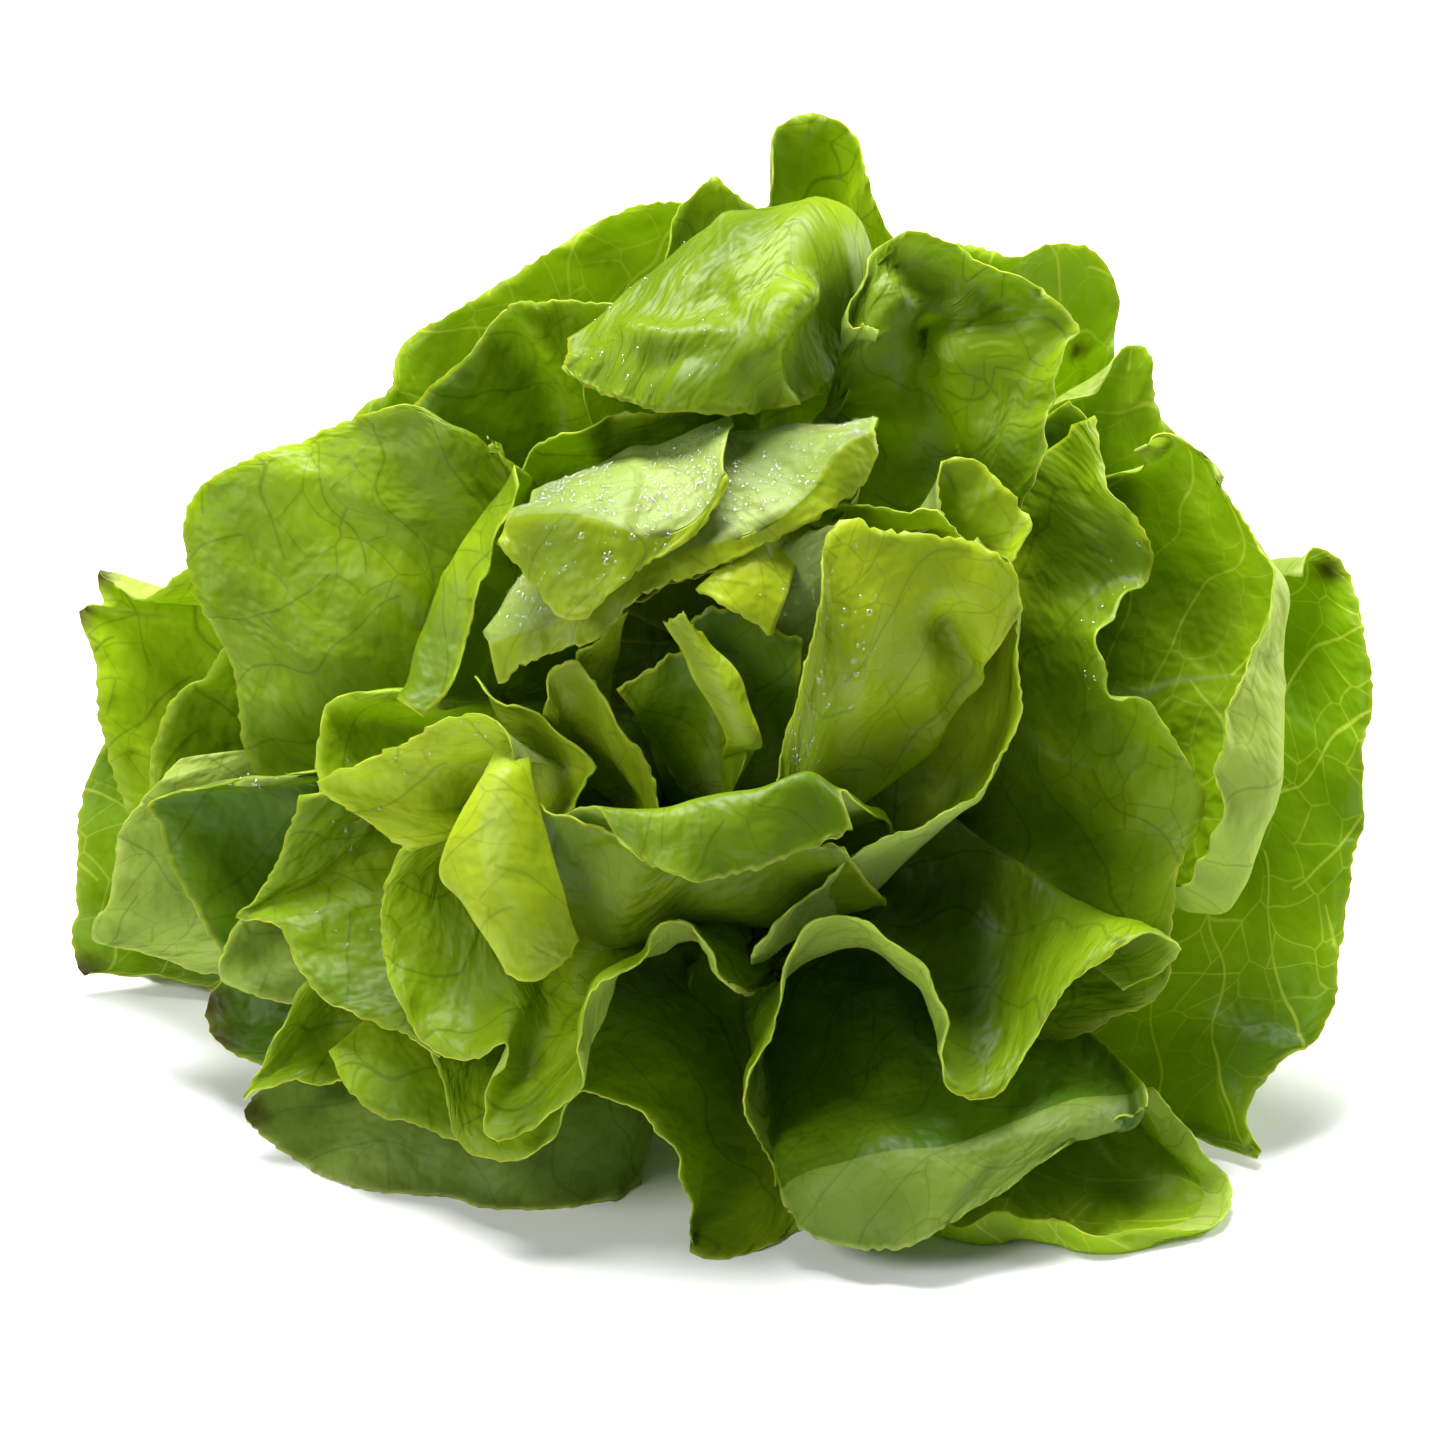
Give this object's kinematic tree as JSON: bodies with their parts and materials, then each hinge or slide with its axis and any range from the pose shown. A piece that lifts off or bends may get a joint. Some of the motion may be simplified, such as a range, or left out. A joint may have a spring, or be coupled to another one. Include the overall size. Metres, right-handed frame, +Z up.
{
  "type": "lettuce",
  "caption": "Whole butterhead lettuce head lying tipped back on its lower leaves: short cut stem, folded dense heart, loose waved outer leaves.",
  "frame": {"origin": "middle of the head's footprint box, on the surface it lies on", "axes": "+Z up, +X across the head, -Y towards the front where the heart faces, 30 degrees up"},
  "size_m": [0.2608, 0.1671, 0.1746],
  "materials": {
    "outer_leaf": "waxy satin leaf, paler and duller underneath",
    "heart_leaf": "waxy satin leaf, yellower than the outer leaves",
    "stem": "moist matt cut stem"
  },
  "bodies": {
    "root": {"heart": "heart_leaf", "leaf_back_left": "outer_leaf", "leaf_back_right": "outer_leaf", "leaf_back_top": "outer_leaf", "leaf_front_inner": "outer_leaf", "leaf_front_left_floor": "outer_leaf", "leaf_front_left_third": "outer_leaf", "leaf_front_lip": "outer_leaf", "leaf_front_outer": "outer_leaf", "leaf_front_right_floor": "outer_leaf", "leaf_front_right_ruffle": "outer_leaf", "leaf_left_browned": "outer_leaf", "leaf_left_cone": "outer_leaf", "leaf_left_curl": "outer_leaf", "leaf_left_floor": "outer_leaf", "leaf_left_low": "outer_leaf", "leaf_left_main": "outer_leaf", "leaf_left_pale": "outer_leaf", "leaf_left_roll": "outer_leaf", "leaf_left_second": "outer_leaf", "leaf_left_third": "outer_leaf", "leaf_left_tip": "outer_leaf", "leaf_left_tuck": "outer_leaf", "leaf_right_back": "outer_leaf", "leaf_right_dark": "outer_leaf", "leaf_right_outer": "outer_leaf", "leaf_right_ruffle": "outer_leaf", "leaf_right_second": "outer_leaf", "leaf_right_tip": "outer_leaf", "leaf_top_back": "outer_leaf", "leaf_top_hood": "outer_leaf", "leaf_top_inner": "outer_leaf", "leaf_top_left_back": "outer_leaf", "leaf_top_left_dark": "outer_leaf", "leaf_top_right_fold": "outer_leaf", "leaf_top_right_pale": "outer_leaf", "leaf_torn_flap": "outer_leaf", "stem": "stem"}
  },
  "joints": []
}
